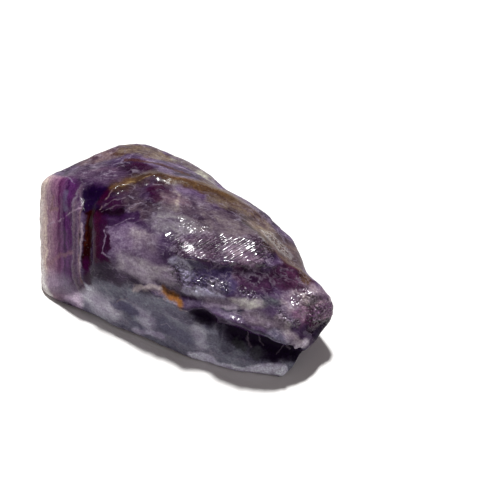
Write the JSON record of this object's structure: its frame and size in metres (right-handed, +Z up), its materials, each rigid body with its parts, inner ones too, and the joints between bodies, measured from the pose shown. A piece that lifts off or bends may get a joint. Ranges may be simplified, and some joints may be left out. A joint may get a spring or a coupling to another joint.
{
  "type": "rough amethyst stone",
  "caption": "Rough amethyst: a broken piece of purple quartz crystal with one flat banded face, a ledged front, a blunt tip and a flat break to lie on.",
  "frame": {"origin": "on the flat break that it lies on, under the middle of its bounding box", "axes": "+X along the stone, from the flat banded crystal end to the blunt tip; +Z up, from the break that it lies on; -Y towards the steep ledged front"},
  "size_m": [0.0506, 0.0272, 0.017],
  "materials": {
    "amethyst": "glossy, partly clear"
  },
  "bodies": {
    "root": {"amethyst_stone": "amethyst"}
  },
  "joints": []
}
